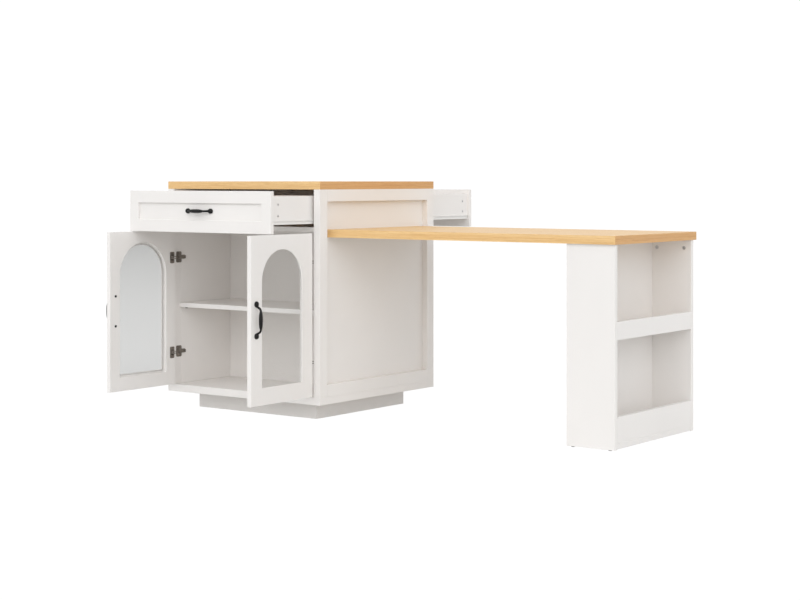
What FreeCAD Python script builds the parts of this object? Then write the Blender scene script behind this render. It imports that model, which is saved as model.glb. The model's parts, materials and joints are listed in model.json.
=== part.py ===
import FreeCAD, Part
import math
import os

# Kitchen island: a two-sided cabinet on a recessed plinth, with a dining table
# top that runs out from its right side to an open-shelf leg unit.
#
# Lengths are millimetres.  Inside this file X runs right from the cabinet's
# left side, Y runs back from the cabinet's front face and Z runs up from the
# floor.  export() moves everything to the middle of the unit's footprint.
# The doors and drawers are built shut and then opened to the pose at rest.

V = FreeCAD.Vector
X_WAY = V(1, 0, 0)
Y_WAY = V(0, 1, 0)
Z_WAY = V(0, 0, 1)
FULL_TURN = 360.0
RIGHT_ANGLE = 90.0
SOCKET_SIDES = 6

# Small round pieces and their bores are drawn with this many flat sides.
# Pivot pins, rollers and the doors' arches stay truly round.
SHANK_SIDES = 8
HEAD_SIDES = 10
CUP_SIDES = 16
LINK_STEPS = 5
FOOT_END_STEPS = 3

# ---------------------------------------------------------------- cabinet
cabinet_width = 790.0
cabinet_depth = 743.5
cabinet_height = 914.0
worktop_thick = 30.0
worktop_round = 1.2
plinth_height = 67.4
plinth_inset = 89.0
board_thick = 18.0
base_thick = 29.0
post_width = 30.0
post_depth = 45.0
rail_height = 46.0
side_panel_thick = 6.0
partition_thick = 12.0
front_bay_depth = 340.0
drawer_opening = 144.0
divider_setback = 1.5

# shelves inside the cabinet
shelf_top = 423.0
shelf_setback = 34.0
shelf_end_gap = 1.0
shelf_rear_gap = 1.0
shelf_round = 1.5
pin_radius = 2.5
pin_depth = 5.0
pin_reach = 9.0
pin_pad_width = 12.0
pin_pad_thick = 2.0
pin_from_shelf_edge = 38.0

# ---------------------------------------------------------------- fronts
side_gap = 2.5
middle_gap = 4.0
front_gap = 2.0
drawer_top_gap = 5.0
edge_break = 1.0

# doors
door_thick = 18.0
door_lip = 3.0
arch_width = 235.0
arch_bottom_rail = 64.0
arch_top_rail = 54.0
rebate_width = 10.0
glass_thick = 4.0
bead_width = 4.0
bead_thick = 3.0
door_handle_edge = 29.0
door_handle_height = 313.0

# drawers
drawer_front_height = 159.0
drawer_front_thick = 17.0
drawer_frame_width = 47.0
drawer_panel_recess = 8.0
drawer_handle_drop = 77.0
box_side_gap = 12.5
box_side_thick = 12.0
box_side_height = 105.0
box_bottom_rise = 35.0
box_bottom_thick = 5.0
box_groove_depth = 6.0
box_bottom_lift = 8.0
box_rear_gap = 4.0
cam_radius = 4.5
cam_depth = 8.0
cam_from_face = 54.0
cam_from_top = 31.0
cam_spacing = 43.0

# how far inside the cabinet's face each drawer's roller stands at rest
front_roller_inside = 80.5
back_roller_inside = 51.0

# ---------------------------------------------------------------- handles
handle_spacing = 116.0
handle_foot_length = 20.0
handle_foot_width = 13.0
handle_foot_height = 5.5
handle_foot_round = 4.0
handle_grip_height = 22.2
handle_grip_radius = 4.8
handle_grip_length = 72.0
handle_neck_radius = 2.9
handle_neck_bend = 10.0
handle_neck_angle = 60.0
handle_neck_root = 3.0
handle_grip_shares = (0.55, 1.0)
handle_bend_shares = (0.5, 1.0)
handle_foot_shares = (0.0, 0.4, 0.72, 1.0)
screw_radius = 2.0
screw_head_radius = 4.0
screw_head_thick = 2.4
screw_depth_in_foot = 4.0

# ---------------------------------------------------------------- hinges
pivot_inset = 3.0
left_door_open_angle = 90.0
right_door_open_angle = 91.4
hinge_above_door_bottom = 128.5
hinge_below_door_top = 110.0
cup_radius = 12.5
cup_depth = 10.0
cup_wall = 0.8
cup_edge_distance = 6.4
flange_thick = 1.0
flange_height = 46.0
flange_corner = 5.0
flange_screw_radius = 3.2
flange_screw_thick = 0.9
flange_screw_spacing = 36.0
plate_setback = 14.5
plate_width = 30.5
plate_height = 45.0
plate_thick = 1.6
plate_corner = 6.0
tail_length = 22.0
tail_height = 16.0
arm_setback = 21.0
arm_height = 14.0
arm_rise = 6.4
arm_break = 2.1
ear_thick = 1.6
ear_radius = 3.2
hinge_pin_radius = 1.5
hinge_pin_rise = 10.0
hinge_pin_setback = 6.0
hinge_pin_clearance = 0.06
link_radius = 30.0
link_start_angle = 62.0
link_sweep_angle = 122.2
link_thick = 2.6
link_height = 3.0
link_side_gap = 0.15
link_eye_radius = 2.9
link_post_radius = 1.1
link_post_share = 0.5

# ---------------------------------------------------------------- slides
slide_sheet = 1.2
slide_setback = 20.0
slide_end_gap = 2.0
slide_leg_height = 13.0
slide_track_width = 10.5
slide_lip_width = 8.0
slide_flange_width = 8.3
slide_lip_gap = 1.8
roller_gap = 0.3
roller_width = 6.0
cabinet_roller_radius = 9.0
drawer_roller_radius = 7.5
roller_from_wall = 4.0
axle_radius = 2.0
axle_head_radius = 3.0
axle_head_thick = 0.7
axle_clearance = 0.08
roller_end_margin = 1.0

# ---------------------------------------------------------------- table
table_reach = 1228.5
table_thick = 30.0
table_above_rail = 9.0
table_front = 69.0
table_width = 606.0
table_round = 1.2
fixing_rail_width = 30.0
fixing_rail_height = 32.0
bolt_radius = 3.0
bolt_head_radius = 6.5
bolt_head_thick = 4.0
bolt_key_radius = 2.5
bolt_key_depth = 2.5
bolt_bite = 40.0
bolt_drop = 11.0
bolt_end_distance = 60.0

# ---------------------------------------------------------------- leg unit
leg_end_overhang = 5.6
leg_length = 190.0
leg_front_overhang = 7.5
leg_rear_overhang = 13.5
leg_foot_gap = 2.5
leg_inner_inset = 12.5
leg_base_height = 5.0
leg_base_thick = 19.5
leg_base_lip_top = 114.0
leg_shelf_underside = 376.0
leg_shelf_lip_height = 62.5
leg_edge_break = 0.8
glide_radius = 7.5
glide_margin = 22.0
leg_cam_radius = 7.5
leg_cam_depth = 12.5
leg_cam_drop = 30.0
leg_cam_inner = 50.0
leg_cam_outer = 29.0
leg_bolt_radius = 3.5
leg_bolt_bite = 18.0

# ---------------------------------------------------------------- worked out
inner_left = post_width
inner_right = cabinet_width - post_width
side_recess = post_width - side_panel_thick
carcass_bottom = plinth_height
base_top = carcass_bottom + base_thick
carcass_top = cabinet_height - worktop_thick
divider_top = carcass_top - drawer_opening
divider_bottom = divider_top - board_thick
table_top_height = divider_bottom + table_above_rail
partition_front = front_bay_depth
partition_back = front_bay_depth + partition_thick

drawer_front_top = carcass_top - drawer_top_gap
drawer_front_bottom = drawer_front_top - drawer_front_height
door_bottom = base_top + front_gap
door_top = drawer_front_bottom - front_gap
door_width = (inner_right - inner_left - 2 * side_gap - middle_gap) / 2
door_left = inner_left + side_gap

# The door turns about a line just in front of the post, so that it opens
# with its outer face in line with the post's inner face.
pivot_x = inner_left - pivot_inset
pivot_y = -pivot_inset
door_open_reach = door_left + door_width - pivot_x - pivot_y
handle_projection = handle_grip_height + handle_grip_radius
drawer_handle_proud = handle_projection - drawer_panel_recess


def bay_depth(bay):
    """Depth from a face of the cabinet to the partition, front bay first."""
    return (partition_front, cabinet_depth - partition_back)[bay]


def box_end(bay):
    return bay_depth(bay) - box_rear_gap


def drawer_roller_y(bay):
    """Y of the drawer's roller with the drawer shut, from its own face."""
    return box_end(bay) - drawer_roller_radius - roller_end_margin


front_drawer_pull = drawer_roller_y(0) - front_roller_inside
back_drawer_pull = drawer_roller_y(1) - back_roller_inside

frontmost = -max(door_open_reach, front_drawer_pull + drawer_handle_proud)
backmost = cabinet_depth + back_drawer_pull + drawer_handle_proud
rightmost = cabinet_width + table_reach
origin = V(rightmost / 2, (frontmost + backmost) / 2, 0)


# ---------------------------------------------------------------- helpers
def block(x0, x1, y0, y1, z0, z1):
    """A box between two corners."""
    return Part.makeBox(x1 - x0, y1 - y0, z1 - z0, V(x0, y0, z0))


def rod(radius, start, way, length):
    """A cylinder that grows from start along way."""
    return Part.makeCylinder(radius, length, start, way)


def ring_round(centre, one, other, radius, sides):
    """Corners spaced evenly round a circle."""
    corners = []
    for step in range(sides):
        angle = math.radians(step * FULL_TURN / sides)
        corners.append(centre + one * (radius * math.cos(angle)) + other * (radius * math.sin(angle)))
    return corners


def outline_of(corners):
    """A closed wire of straight edges."""
    return Part.makePolygon(corners + corners[:1])


def faceted_rod(radius, start, way, length, sides=SHANK_SIDES):
    """A small round bar or bore along X, Y or Z, drawn with flat sides."""
    one = V(way.y, way.z, way.x)
    ring = ring_round(start, one, way.cross(one), radius, sides)
    return plate_between(outline_of(ring), way * length)


def skin_over(rings):
    """A solid with flat faces through rings that have the same number of corners."""
    faces = [Part.Face(outline_of(rings[0])), Part.Face(outline_of(rings[-1]))]
    for ring, after in zip(rings, rings[1:]):
        for here in range(len(ring)):
            there = (here + 1) % len(ring)
            faces.append(Part.Face(outline_of([ring[here], ring[there], after[there]])))
            faces.append(Part.Face(outline_of([ring[here], after[there], after[here]])))
    solid = Part.Solid(Part.Shell(faces))
    solid.fix(0, 0, 0)
    return solid.removeSplitter()


def corner_radius(clear_radius, sides):
    """Radius to the corners of a faceted bore that clears a round bar."""
    return clear_radius / math.cos(math.pi / sides)


def plate_between(wire, way):
    """A solid made by pushing a closed flat wire along way."""
    return Part.Face(wire).extrude(way)


def clipped_plate(y0, y1, z0, z1, corner, x, thick):
    """A plate with clipped corners that lies in a plane of constant X."""
    plate = block(x, x + thick, y0, y1, z0, z1)
    corners = [e for e in plate.Edges if e.BoundBox.XLength > thick / 2]
    return plate.makeChamfer(corner, corners)


def edges_at_top(solid):
    """The edges that lie in the highest plane of a solid."""
    top = solid.BoundBox.ZMax
    return [e for e in solid.Edges if abs(e.BoundBox.ZMin - top) < edge_break / 100]


def mirrored(solid):
    """The same piece on the other side of the cabinet."""
    return solid.mirror(V(cabinet_width / 2, 0, 0), X_WAY)


def turned_back(solid):
    """The same piece for the cabinet's back, turned half round."""
    copy = solid.copy()
    copy.rotate(V(cabinet_width / 2, cabinet_depth / 2, 0), Z_WAY, FULL_TURN / 2)
    return copy


def both_sides(solid):
    """A piece and its mirror image."""
    return [solid, mirrored(solid)]


# ---------------------------------------------------------------- carcass
def worktop():
    top = block(0, cabinet_width, 0, cabinet_depth, carcass_top, cabinet_height)
    return [top.makeFillet(worktop_round, edges_at_top(top))]


def base_panel():
    return [block(0, cabinet_width, 0, cabinet_depth, carcass_bottom, base_top)]


def plinth_boards():
    """Two long boards and two short ones between them, set in from the sides."""
    left = plinth_inset
    right = cabinet_width - plinth_inset
    front = plinth_inset
    back = cabinet_depth - plinth_inset
    boards = []
    for y0 in (front, back - board_thick):
        boards.append(block(left, right, y0, y0 + board_thick, 0, plinth_height))
    for x0 in (left, right - board_thick):
        y0 = front + board_thick
        y1 = back - board_thick
        boards.append(block(x0, x0 + board_thick, y0, y1, 0, plinth_height))
    return boards


def posts(y0):
    post = block(0, post_width, y0, y0 + post_depth, base_top, carcass_top)
    return both_sides(post)


def side_rails():
    """The rails that close the left side's frame above and below its panel."""
    y0 = post_depth
    y1 = cabinet_depth - post_depth
    low = block(0, side_recess, y0, y1, base_top, base_top + rail_height)
    high = block(0, side_recess, y0, y1, carcass_top - rail_height, carcass_top)
    return [low, high]


def shelf_bays():
    """Front and back edges of the front shelf and of the back shelf."""
    front = (shelf_setback, partition_front - shelf_rear_gap)
    back = (partition_back + shelf_rear_gap, cabinet_depth - shelf_setback)
    return [front, back]


def pin_places():
    """Y of each shelf pin along one side."""
    places = []
    for y0, y1 in shelf_bays():
        places.append(y0 + pin_from_shelf_edge)
        places.append(y1 - pin_from_shelf_edge)
    return places


def pin_height():
    return shelf_top - board_thick - pin_pad_thick - pin_radius


def left_pins():
    pins = []
    for y in pin_places():
        start = V(inner_left - pin_depth, y, pin_height())
        pin = faceted_rod(pin_radius, start, X_WAY, pin_depth + pin_reach)
        y0 = y - pin_pad_width / 2
        pad_top = shelf_top - board_thick
        pad_bottom = pad_top - pin_pad_thick - pin_radius
        pad = block(inner_left, inner_left + pin_reach, y0, y0 + pin_pad_width, pad_bottom, pad_top)
        pins.append(pin.fuse(pad).removeSplitter())
    return pins


def shelf_pins():
    pins = []
    for pin in left_pins():
        pins += both_sides(pin)
    return pins


def left_side_panel():
    y0 = post_depth
    y1 = cabinet_depth - post_depth
    panel = block(side_recess, inner_left, y0, y1, base_top, carcass_top)
    for y in pin_places():
        start = V(inner_left - pin_depth, y, pin_height())
        panel = panel.cut(faceted_rod(pin_radius, start, X_WAY, pin_depth))
    return panel


def right_side_panel():
    panel = mirrored(left_side_panel())
    for y in bolt_places():
        start = V(inner_right, y, bolt_height())
        panel = panel.cut(faceted_rod(bolt_radius, start, X_WAY, side_panel_thick))
    return panel


def partition(z0, z1):
    return [block(inner_left, inner_right, partition_front, partition_back, z0, z1)]


def drawer_divider():
    y0 = door_thick + divider_setback
    y1 = cabinet_depth - door_thick - divider_setback
    return [block(inner_left, inner_right, y0, y1, divider_bottom, divider_top)]


def shelf(bay):
    y0, y1 = shelf_bays()[bay]
    x0 = inner_left + shelf_end_gap
    x1 = inner_right - shelf_end_gap
    board = block(x0, x1, y0, y1, shelf_top - board_thick, shelf_top)
    outer_y = (y0, y1)[bay]
    edges = []
    for edge in board.Edges:
        flat = edge.BoundBox.YLength < shelf_round and edge.BoundBox.ZLength < shelf_round
        if flat and abs(edge.BoundBox.YMin - outer_y) < shelf_round:
            edges.append(edge)
    return [board.makeFillet(shelf_round, edges)]


# ---------------------------------------------------------------- table
def bolt_height():
    return divider_bottom - bolt_drop


def fixing_rail_bays():
    """Front and back ends of the two rails, one in each bay."""
    front = (post_depth, partition_front)
    back = (partition_back, cabinet_depth - post_depth)
    return [front, back]


def bolt_places():
    places = []
    for y0, y1 in fixing_rail_bays():
        low = max(y0, table_front) + bolt_end_distance
        high = min(y1, table_front + table_width) - bolt_end_distance
        places += [low, high]
    return places


def bolt_start():
    """X of the face that the bolt heads are drawn against."""
    return inner_right - fixing_rail_width


def bolt_shank(y):
    length = fixing_rail_width + side_panel_thick + bolt_bite
    return faceted_rod(bolt_radius, V(bolt_start(), y, bolt_height()), X_WAY, length)


def table_bolts():
    bolts = []
    for y in bolt_places():
        head_start = V(bolt_start() - bolt_head_thick, y, bolt_height())
        head = faceted_rod(bolt_head_radius, head_start, X_WAY, bolt_head_thick, HEAD_SIDES)
        socket = faceted_rod(bolt_key_radius, head_start, X_WAY, bolt_key_depth, SOCKET_SIDES)
        head = head.cut(socket)
        bolts.append(head.fuse(bolt_shank(y)).removeSplitter())
    return bolts


def table_fixing_rails():
    rails = []
    for y0, y1 in fixing_rail_bays():
        z0 = divider_bottom - fixing_rail_height
        rail = block(bolt_start(), inner_right, y0, y1, z0, divider_bottom)
        for y in bolt_places():
            rail = rail.cut(bolt_shank(y))
        rails.append(rail)
    return rails


def table_underside():
    return table_top_height - table_thick


def table_top():
    """The dining top, from the side panel's recess to its free end."""
    x0 = cabinet_width - side_recess
    y1 = table_front + table_width
    top = block(x0, rightmost, table_front, y1, table_underside(), table_top_height)
    edges = [e for e in edges_at_top(top) if e.BoundBox.XMax > cabinet_width]
    top = top.makeFillet(table_round, edges)
    for y in bolt_places():
        top = top.cut(bolt_shank(y))
    for cam in leg_cam_list():
        top = top.cut(cam)
    return [top]


# ---------------------------------------------------------------- leg unit
leg_outer_x = rightmost - leg_end_overhang
leg_inner_x = leg_outer_x - leg_length
leg_front_y = table_front + leg_front_overhang
leg_rear_y = table_front + table_width - leg_rear_overhang
niche_front_y = leg_front_y + board_thick
niche_rear_y = leg_rear_y - board_thick
niche_back_x = leg_inner_x + leg_inner_inset + board_thick
lip_inner_x = leg_outer_x - board_thick
leg_base_top = leg_base_height + leg_base_thick


def leg_cam(x, front):
    """A cam lock in a leg panel's inner face with its bolt up into the table."""
    face = niche_front_y if front else niche_rear_y
    inward = -1 if front else 1
    z = table_underside() - leg_cam_drop
    cam = faceted_rod(leg_cam_radius, V(x, face, z), Y_WAY * inward, leg_cam_depth, HEAD_SIDES)
    middle = face + inward * board_thick / 2
    length = leg_cam_drop + leg_bolt_bite
    return cam.fuse(faceted_rod(leg_bolt_radius, V(x, middle, z), Z_WAY, length)).removeSplitter()


def leg_cam_list():
    cams = []
    for front in (True, False):
        for x in (leg_inner_x + leg_cam_inner, leg_outer_x - leg_cam_outer):
            cams.append(leg_cam(x, front))
    return cams


def leg_side(y0):
    panel = block(leg_inner_x, leg_outer_x, y0, y0 + board_thick, leg_foot_gap, table_underside())
    upright = [e for e in panel.Edges if e.BoundBox.ZLength > board_thick]
    panel = panel.makeChamfer(leg_edge_break, upright)
    for cam in leg_cam_list():
        panel = panel.cut(cam)
    return [panel]


def leg_inner_panel():
    x0 = niche_back_x - board_thick
    return [block(x0, niche_back_x, niche_front_y, niche_rear_y, leg_base_height, table_underside())]


def leg_base():
    return [block(niche_back_x, leg_outer_x, niche_front_y, niche_rear_y, leg_base_height, leg_base_top)]


def leg_shelf():
    z1 = leg_shelf_underside + board_thick
    return [block(niche_back_x, lip_inner_x, niche_front_y, niche_rear_y, leg_shelf_underside, z1)]


def leg_lips():
    """The boards that keep things on the leg's shelf and on its base."""
    lips = []
    shelf_lip_top = leg_shelf_underside + leg_shelf_lip_height
    for z0, z1 in ((leg_base_top, leg_base_lip_top), (leg_shelf_underside, shelf_lip_top)):
        lip = block(lip_inner_x, leg_outer_x, niche_front_y, niche_rear_y, z0, z1)
        edges = [e for e in edges_at_top(lip) if e.BoundBox.YLength > board_thick]
        lips.append(lip.makeChamfer(leg_edge_break, edges))
    return lips


def leg_glides():
    glides = []
    for y in (leg_front_y + board_thick / 2, leg_rear_y - board_thick / 2):
        for x in (leg_inner_x + glide_margin, leg_outer_x - glide_margin):
            glides.append(faceted_rod(glide_radius, V(x, y, 0), Z_WAY, leg_foot_gap, HEAD_SIDES))
    return glides


# ---------------------------------------------------------------- handles
def handle_half(centre, outward, out):
    """Middle points, ways and radii of a handle's bar, from near its middle out to a foot."""
    stations = []
    for share in handle_grip_shares:
        place = centre + outward * (share * handle_grip_length / 2) + out * handle_grip_height
        swell = (handle_grip_radius - handle_neck_radius) * (1 - share ** 2)
        stations.append((place, outward, handle_neck_radius + swell))
    hub = place - out * handle_neck_bend
    for share in handle_bend_shares:
        turn = math.radians(handle_neck_angle * share)
        way = outward * math.cos(turn) - out * math.sin(turn)
        side = outward * math.sin(turn) + out * math.cos(turn)
        stations.append((hub + side * handle_neck_bend, way, handle_neck_radius))
    bend_end = stations[-1][0]
    fall = (bend_end - centre).dot(out) - handle_neck_root
    stations.append((bend_end + way * (fall / math.sin(turn)), way, handle_neck_radius))
    return stations


def handle_bar(centre, along, out):
    """The bar of a bow pull: thick half way, with a thin bent neck at each end."""
    across = out.cross(along)
    left = [(place, way * -1, radius) for place, way, radius in handle_half(centre, along * -1, out)]
    middle = (centre + out * handle_grip_height, along, handle_grip_radius)
    rings = []
    for place, way, radius in left[::-1] + [middle] + handle_half(centre, along, out):
        rings.append(ring_round(place, across, way.cross(across), radius, SHANK_SIDES))
    return skin_over(rings)


def foot_outline(centre, along, across, radius):
    """A long oval with flat sides and many-sided ends."""
    straight = (handle_foot_length - handle_foot_width) / 2
    corners = []
    for end in (1, -1):
        for step in range(FOOT_END_STEPS + 1):
            angle = math.radians(step * FULL_TURN / 2 / FOOT_END_STEPS)
            reach = along * (radius * math.sin(angle)) + across * (radius * math.cos(angle))
            corners.append(centre + (along * straight + reach) * end)
    return corners


def handle_foot(seat, along, out):
    """An oval foot with a rounded top."""
    across = out.cross(along)
    radius = handle_foot_width / 2
    rings = [foot_outline(seat, along, across, radius)]
    for share in handle_foot_shares:
        turn = math.radians(RIGHT_ANGLE * share)
        height = handle_foot_height - handle_foot_round * (1 - math.sin(turn))
        inset = handle_foot_round * (1 - math.cos(turn))
        rings.append(foot_outline(seat + out * height, along, across, radius - inset))
    return skin_over(rings)


def handle(centre, along, out):
    """A bow pull on two oval feet, with its screw holes.

    along runs from foot to foot and out points away from the front.
    """
    bow = handle_bar(centre, along, out)
    for side in (-1, 1):
        seat = centre + along * (side * handle_spacing / 2)
        bow = bow.fuse(handle_foot(seat, along, out))
        bow = bow.cut(faceted_rod(screw_radius, seat, out, screw_depth_in_foot))
    return bow


def handle_screw(seat, out, grip_thick):
    """A pan-head screw from behind a front into a handle foot."""
    back = seat - out * grip_thick
    shank = faceted_rod(screw_radius, back, out, grip_thick + screw_depth_in_foot)
    head = faceted_rod(screw_head_radius, back - out * screw_head_thick, out, screw_head_thick)
    return head.fuse(shank).removeSplitter()


# ---------------------------------------------------------------- doors
def arch_wire(grow, y):
    """The door's arched outline, made larger by grow, in a plane of constant Y."""
    middle = door_left + door_width / 2
    half = arch_width / 2 + grow
    bottom = door_bottom + arch_bottom_rail - grow
    spring = door_top - arch_top_rail - arch_width / 2
    low_left = V(middle - half, y, bottom)
    low_right = V(middle + half, y, bottom)
    high_right = V(middle + half, y, spring)
    high_left = V(middle - half, y, spring)
    crown = V(middle, y, spring + half)
    edges = [
        Part.makeLine(low_left, low_right),
        Part.makeLine(low_right, high_right),
        Part.Arc(high_right, crown, high_left).toShape(),
        Part.makeLine(high_left, low_left),
    ]
    return Part.Wire(edges)


def arch_solid(grow, y0, y1):
    return plate_between(arch_wire(grow, y0), Y_WAY * (y1 - y0))


def hinge_heights():
    return [door_bottom + hinge_above_door_bottom, door_top - hinge_below_door_top]


def cup_centre_x():
    return door_left + cup_edge_distance + cup_radius


def door_handle_centre():
    x = door_left + door_width - door_handle_edge
    return V(x, 0, door_bottom + door_handle_height)


def door_frame():
    frame = block(door_left, door_left + door_width, 0, door_thick, door_bottom, door_top)
    frame = frame.makeChamfer(edge_break, outer_edges(frame))
    frame = frame.cut(arch_solid(0, 0, door_lip))
    frame = frame.cut(arch_solid(rebate_width, door_lip, door_thick))
    for z in hinge_heights():
        mouth = V(cup_centre_x(), door_thick, z)
        frame = frame.cut(faceted_rod(cup_radius, mouth, -Y_WAY, cup_depth, CUP_SIDES))
    for side in (-1, 1):
        start = door_handle_centre() + Z_WAY * side * handle_spacing / 2
        frame = frame.cut(faceted_rod(screw_radius, start, Y_WAY, door_thick))
    return frame


def outer_edges(front):
    """The four edges round the outer face of a shut front."""
    return [e for e in front.Edges if e.BoundBox.YMax < edge_break / 2]


def door_glass():
    return arch_solid(rebate_width, door_lip, door_lip + glass_thick)


def glazing_bead():
    y0 = door_lip + glass_thick
    y1 = y0 + bead_thick
    ring = arch_solid(rebate_width, y0, y1)
    return ring.cut(arch_solid(rebate_width - bead_width, y0, y1))


def door_handle():
    return handle(door_handle_centre(), Z_WAY, -Y_WAY)


def door_screws():
    screws = []
    for side in (-1, 1):
        seat = door_handle_centre() + Z_WAY * side * handle_spacing / 2
        screws.append(handle_screw(seat, -Y_WAY, door_thick))
    return screws


def hinge_cup(z):
    """A drawn steel cup in the door's back with its screw flange."""
    x = cup_centre_x()
    flange = block(x - cup_radius, x + cup_radius, door_thick, door_thick + flange_thick,
                   z - flange_height / 2, z + flange_height / 2)
    corners = [e for e in flange.Edges if e.BoundBox.YLength > flange_thick / 2]
    flange = flange.makeChamfer(flange_corner, corners)
    floor = door_thick - cup_depth
    cup = faceted_rod(cup_radius, V(x, floor, z), Y_WAY, cup_depth, CUP_SIDES)
    cup = cup.fuse(flange)
    hollow_depth = cup_depth - cup_wall + flange_thick
    hollow_start = V(x, floor + cup_wall, z)
    cup = cup.cut(faceted_rod(cup_radius - cup_wall, hollow_start, Y_WAY, hollow_depth, CUP_SIDES))
    for side in (-1, 1):
        seat = V(x, door_thick + flange_thick, z + side * flange_screw_spacing / 2)
        cup = cup.fuse(faceted_rod(flange_screw_radius, seat, Y_WAY, flange_screw_thick))
    return cup.removeSplitter()


def opened(solid, angle):
    """Turn a piece of the shut left door to where the door stands open."""
    copy = solid.copy()
    copy.rotate(V(pivot_x, pivot_y, 0), Z_WAY, -angle)
    return copy


def links_opened(solid, angle):
    """Turn a link from a door opened by a right angle to a door opened by angle."""
    copy = solid.copy()
    copy.rotate(V(hinge_pin_x, hinge_pin_y, 0), Z_WAY, RIGHT_ANGLE - angle)
    return copy


def door_nodes():
    """Both doors, built as the left one, shut, then opened and mirrored."""
    pieces = {
        "door_frame": [door_frame()],
        "door_glass": [door_glass()],
        "glazing_bead": [glazing_bead()],
        "door_handle": [door_handle()],
        "door_screws": door_screws(),
        "hinge_cups": [hinge_cup(z) for z in hinge_heights()],
    }
    links = [hinge_link(z) for z in hinge_heights()]
    nodes = {"left_hinge_links": [links_opened(link, left_door_open_angle) for link in links],
             "right_hinge_links": [mirrored(links_opened(link, right_door_open_angle)) for link in links]}
    for name, solids in pieces.items():
        nodes["left_" + name] = [opened(solid, left_door_open_angle) for solid in solids]
        nodes["right_" + name] = [mirrored(opened(solid, right_door_open_angle)) for solid in solids]
    return nodes


# ---------------------------------------------------------------- hinge arms
hinge_pin_x = inner_left + hinge_pin_rise
hinge_pin_y = door_thick + hinge_pin_setback


def hinge_arm(z):
    """Mounting plate, arm and pin, screwed to the post and the side panel."""
    x = inner_left
    wing_end = plate_setback + plate_width
    half = plate_height / 2
    plate = clipped_plate(plate_setback, wing_end, z - half, z + half, plate_corner, x, plate_thick)
    half = tail_height / 2
    tail = block(x, x + plate_thick, wing_end, wing_end + tail_length, z - half, z + half)
    half = arm_height / 2
    arm_x = x + plate_thick
    arm_end = wing_end + tail_length - plate_corner / 2
    bar = block(arm_x, arm_x + arm_rise, hinge_pin_y + link_eye_radius + link_thick, arm_end,
                z - half, z + half)
    ridge = [e for e in bar.Edges if e.BoundBox.XMin > arm_x and e.BoundBox.YLength > half]
    bar = bar.makeChamfer(arm_break, ridge)
    arm = plate.fuse(tail).fuse(bar)
    for z0 in (z - half, z + half - ear_thick):
        ear = block(arm_x, hinge_pin_x, hinge_pin_y - ear_radius, hinge_pin_y + arm_setback / 2,
                    z0, z0 + ear_thick)
        round_end = faceted_rod(ear_radius, V(hinge_pin_x, hinge_pin_y, z0), Z_WAY, ear_thick)
        lug = block(arm_x, arm_x + arm_rise, hinge_pin_y - ear_radius, arm_end, z0, z0 + ear_thick)
        arm = arm.fuse(ear).fuse(round_end).fuse(lug)
    arm = arm.fuse(rod(hinge_pin_radius, V(hinge_pin_x, hinge_pin_y, z - half), Z_WAY, arm_height))
    for side in (-1, 1):
        seat = V(x + plate_thick, plate_setback + plate_width / 2, z + side * flange_screw_spacing / 2)
        arm = arm.fuse(faceted_rod(flange_screw_radius, seat, X_WAY, flange_screw_thick))
    return arm.removeSplitter()


def hinge_arms():
    arms = []
    for z in hinge_heights():
        arms += both_sides(hinge_arm(z))
    return arms


def hinge_link(z):
    """The pair of curved links between arm and cup, as the door stands open."""
    start = math.radians(link_start_angle)
    sweep = math.radians(link_sweep_angle)
    back_to_centre = V(math.cos(start), math.sin(start), 0) * link_radius
    centre = V(hinge_pin_x, hinge_pin_y, 0) - back_to_centre

    def at(radius, share, height):
        angle = start - sweep * share
        return centre + V(radius * math.cos(angle), radius * math.sin(angle), height)

    shares = [step / LINK_STEPS for step in range(LINK_STEPS + 1)]
    tip_share = 1 + link_thick / 2 / (link_radius * sweep)
    hole_radius = corner_radius(hinge_pin_radius + hinge_pin_clearance, SHANK_SIDES)
    link_top = arm_height / 2 - ear_thick - link_side_gap
    bars = []
    for z0 in (z + link_top - link_height, z - link_top):
        inner = [at(link_radius - link_thick / 2, share, z0) for share in shares]
        outer = [at(link_radius + link_thick / 2, share, z0) for share in shares]
        outline = inner + [at(link_radius, tip_share, z0)] + outer[::-1]
        bar = plate_between(outline_of(outline), Z_WAY * link_height)
        eye = at(link_radius, 0, z0)
        bar = bar.fuse(faceted_rod(link_eye_radius, eye, Z_WAY, link_height))
        bars.append(bar.cut(faceted_rod(hole_radius, eye, Z_WAY, link_height)))
    post_start = at(link_radius, link_post_share, z - link_top + link_height)
    post = faceted_rod(link_post_radius, post_start, Z_WAY, 2 * (link_top - link_height))
    return bars[0].fuse(bars[1]).fuse(post).removeSplitter()


# ---------------------------------------------------------------- drawers
box_left = inner_left + box_side_gap
box_bottom = drawer_front_bottom + box_bottom_rise
box_top = box_bottom + box_side_height
drawer_front_left = inner_left + side_gap
drawer_front_right = inner_right - side_gap


def drawer_handle_centre():
    return V(cabinet_width / 2, drawer_panel_recess, drawer_front_top - drawer_handle_drop)


def drawer_front():
    """A framed front with a recessed middle panel."""
    front = block(drawer_front_left, drawer_front_right, 0, drawer_front_thick,
                  drawer_front_bottom, drawer_front_top)
    front = front.makeChamfer(edge_break, outer_edges(front))
    frame = drawer_frame_width
    front = front.cut(block(drawer_front_left + frame, drawer_front_right - frame, 0,
                            drawer_panel_recess, drawer_front_bottom + frame, drawer_front_top - frame))
    for side in (-1, 1):
        start = drawer_handle_centre() + X_WAY * side * handle_spacing / 2
        front = front.cut(faceted_rod(screw_radius, start, Y_WAY, drawer_front_thick))
    return [front]


def cam_heights():
    top = box_top - cam_from_top
    return [top, top - cam_spacing]


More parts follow.
